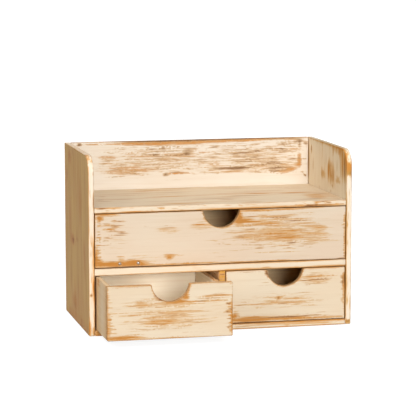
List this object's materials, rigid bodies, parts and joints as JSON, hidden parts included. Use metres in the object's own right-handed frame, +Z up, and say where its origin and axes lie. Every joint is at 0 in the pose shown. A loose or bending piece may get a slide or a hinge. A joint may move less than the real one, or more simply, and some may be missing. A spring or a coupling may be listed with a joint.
{
  "type": "desktop mini drawers",
  "caption": "Distressed wooden desktop organizer: an open tray over a wide drawer and small drawers, each drawer with a half-round finger notch.",
  "frame": {"origin": "centre of the cabinet's footprint on the table, at the underside of the bottom panel", "axes": "+X to the cabinet's right as seen from the front, -Y to the front, where the drawers open, +Z up"},
  "size_m": [0.345, 0.255, 0.228],
  "materials": {
    "distressed_cream_pine": "cream paint, rubbed through to the wood at the edges, satin",
    "drawer_box_pine": "thin cream wash over bare wood, matte",
    "bare_pine": "bare stained wood, matte",
    "nail_steel": "dull, slightly rusted"
  },
  "bodies": {
    "cabinet": {"left_side_panel": "distressed_cream_pine", "right_side_panel": "distressed_cream_pine", "back_panel": "distressed_cream_pine", "top_shelf": "distressed_cream_pine", "middle_shelf": "distressed_cream_pine", "bottom_panel": "distressed_cream_pine", "centre_divider": "bare_pine", "side_panel_nails": "nail_steel", "back_panel_nails": "nail_steel", "divider_nails": "nail_steel"},
    "wide_drawer": {"wide_drawer_front": "distressed_cream_pine", "wide_drawer_left_wall": "drawer_box_pine", "wide_drawer_right_wall": "drawer_box_pine", "wide_drawer_back": "drawer_box_pine", "wide_drawer_floor": "drawer_box_pine", "wide_drawer_nails": "nail_steel"},
    "left_drawer": {"left_drawer_front": "distressed_cream_pine", "left_drawer_left_wall": "drawer_box_pine", "left_drawer_right_wall": "drawer_box_pine", "left_drawer_back": "drawer_box_pine", "left_drawer_floor": "drawer_box_pine", "left_drawer_nails": "nail_steel"},
    "right_drawer": {"right_drawer_front": "distressed_cream_pine", "right_drawer_left_wall": "drawer_box_pine", "right_drawer_right_wall": "drawer_box_pine", "right_drawer_back": "drawer_box_pine", "right_drawer_floor": "drawer_box_pine", "right_drawer_nails": "nail_steel"}
  },
  "joints": [
    {"name": "wide_drawer_slide", "type": "slide", "parent": "cabinet", "child": "wide_drawer", "axis": [0, -1, 0], "range_m": [0, 0.13]},
    {"name": "left_drawer_slide", "type": "slide", "parent": "cabinet", "child": "left_drawer", "axis": [0, -1, 0], "range_m": [-0.075, 0.055]},
    {"name": "right_drawer_slide", "type": "slide", "parent": "cabinet", "child": "right_drawer", "axis": [0, -1, 0], "range_m": [0, 0.13]}
  ]
}
